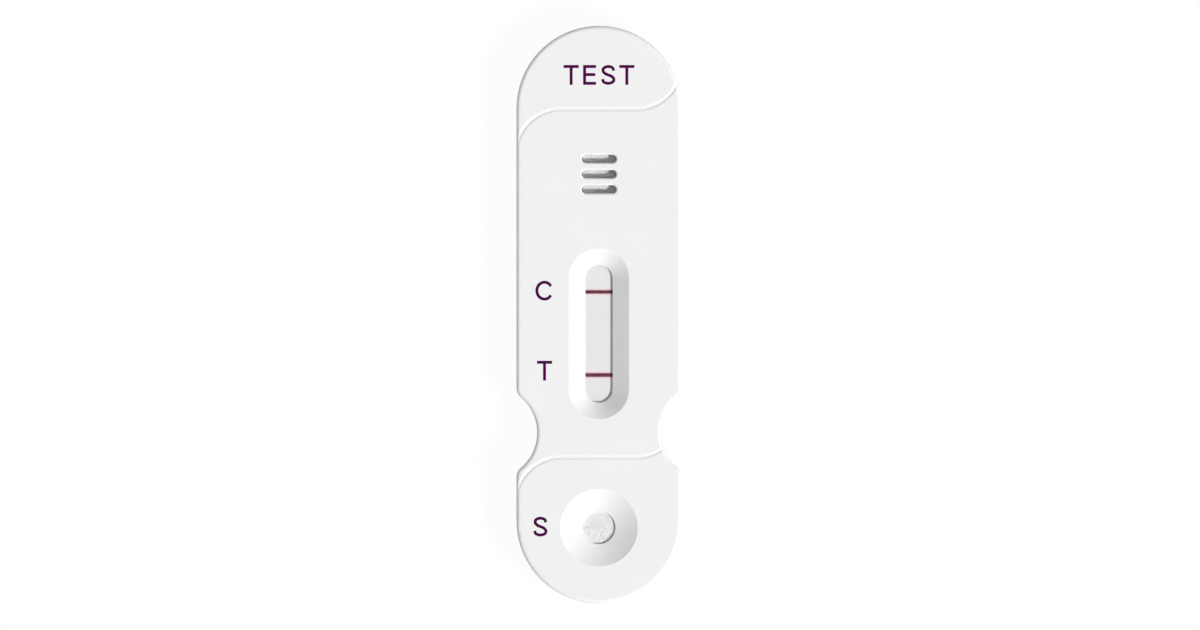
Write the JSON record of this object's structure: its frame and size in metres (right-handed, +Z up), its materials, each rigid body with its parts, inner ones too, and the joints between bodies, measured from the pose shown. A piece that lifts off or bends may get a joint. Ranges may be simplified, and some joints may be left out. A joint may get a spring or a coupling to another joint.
{
  "type": "lateral flow cassette",
  "caption": "Flat white plastic test cassette, round-ended and waisted by finger notches, with a read window, a dished sample well and vent slots over a lapped test strip.",
  "frame": {"origin": "middle of the flat underside", "axes": "+Z up out of the face, +Y along the housing toward the vent slots, +X to the right with the vent slots at the top"},
  "size_m": [0.02, 0.07, 0.005],
  "materials": {
    "shell": "matte",
    "card": "satin",
    "membrane": "matte",
    "conjugate_fibre": "matte",
    "sample_fibre": "matte",
    "absorbent_fibre": "matte",
    "print": "satin"
  },
  "bodies": {
    "root": {"top_shell": "shell", "bottom_shell": "shell", "backing_card": "card", "membrane": "membrane", "conjugate_pad": "conjugate_fibre", "sample_pad": "sample_fibre", "absorbent_pad": "absorbent_fibre"}
  },
  "joints": []
}
